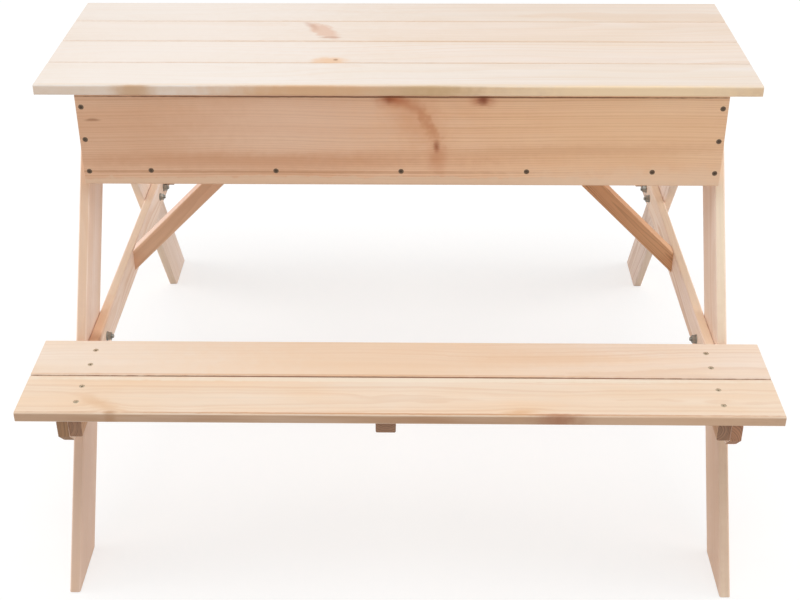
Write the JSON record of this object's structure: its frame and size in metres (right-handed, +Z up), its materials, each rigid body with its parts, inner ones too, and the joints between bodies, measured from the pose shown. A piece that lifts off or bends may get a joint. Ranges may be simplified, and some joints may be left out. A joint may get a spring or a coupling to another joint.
{
  "type": "picnic table with sandbox",
  "caption": "Child's wooden A-frame picnic table: benches on both long sides and a sand box under a table top made as lift-off lids.",
  "frame": {"origin": "on the ground, under the middle of the table", "axes": "+X along the table to the right, +Y from the front bench to the rear bench, +Z up"},
  "size_m": [0.948, 0.9116, 0.602],
  "materials": {
    "lid_pine": "planed, unfinished",
    "bench_pine": "planed, unfinished",
    "box_pine": "planed, unfinished",
    "leg_pine": "planed, unfinished",
    "beam_pine": "planed, unfinished",
    "brace_pine": "planed, unfinished",
    "batten_pine": "planed, unfinished",
    "floor_pine": "planed, unfinished",
    "zinc_steel": "zinc plated",
    "screw_steel": "zinc plated, dulled"
  },
  "bodies": {
    "frame": {"leg_front_left": "leg_pine", "leg_front_right": "leg_pine", "leg_rear_left": "leg_pine", "leg_rear_right": "leg_pine", "seat_beam_left": "beam_pine", "brace_left": "brace_pine", "box_end_left": "box_pine", "seat_beam_right": "beam_pine", "brace_right": "brace_pine", "box_end_right": "box_pine", "box_panel_front": "box_pine", "floor_ledger_front": "batten_pine", "bench_front_outer_board": "bench_pine", "bench_front_inner_board": "bench_pine", "bench_front_batten_left": "batten_pine", "bench_front_batten_middle": "batten_pine", "bench_front_batten_right": "batten_pine", "box_panel_rear": "box_pine", "floor_ledger_rear": "batten_pine", "bench_rear_outer_board": "bench_pine", "bench_rear_inner_board": "bench_pine", "bench_rear_batten_left": "batten_pine", "bench_rear_batten_middle": "batten_pine", "bench_rear_batten_right": "batten_pine", "floor_board_1": "floor_pine", "floor_board_2": "floor_pine", "floor_board_3": "floor_pine", "floor_board_4": "floor_pine", "floor_board_5": "floor_pine", "floor_board_6": "floor_pine", "floor_board_7": "floor_pine", "floor_board_8": "floor_pine", "floor_board_9": "floor_pine", "floor_board_10": "floor_pine", "carriage_bolts": "zinc_steel", "washers": "zinc_steel", "hex_nuts": "zinc_steel", "panel_screws": "screw_steel", "ledger_screws": "screw_steel", "floor_screws": "screw_steel", "bench_screws": "screw_steel", "bench_batten_screws": "screw_steel", "beam_screws": "screw_steel", "brace_screws": "screw_steel"},
    "front_lid": {"lid_front_outer_board": "lid_pine", "lid_front_inner_board": "lid_pine", "lid_front_batten_left": "lid_pine", "lid_front_batten_middle": "lid_pine", "lid_front_batten_right": "lid_pine", "lid_front_screws": "screw_steel"},
    "rear_lid": {"lid_rear_outer_board": "lid_pine", "lid_rear_inner_board": "lid_pine", "lid_rear_batten_left": "lid_pine", "lid_rear_batten_middle": "lid_pine", "lid_rear_batten_right": "lid_pine", "lid_rear_screws": "screw_steel"}
  },
  "joints": [
    {"name": "front_lid_lift", "type": "slide", "parent": "frame", "child": "front_lid", "axis": [0, 0, 1], "range_m": [0, 0.08]},
    {"name": "rear_lid_lift", "type": "slide", "parent": "frame", "child": "rear_lid", "axis": [0, 0, 1], "range_m": [0, 0.08]}
  ]
}
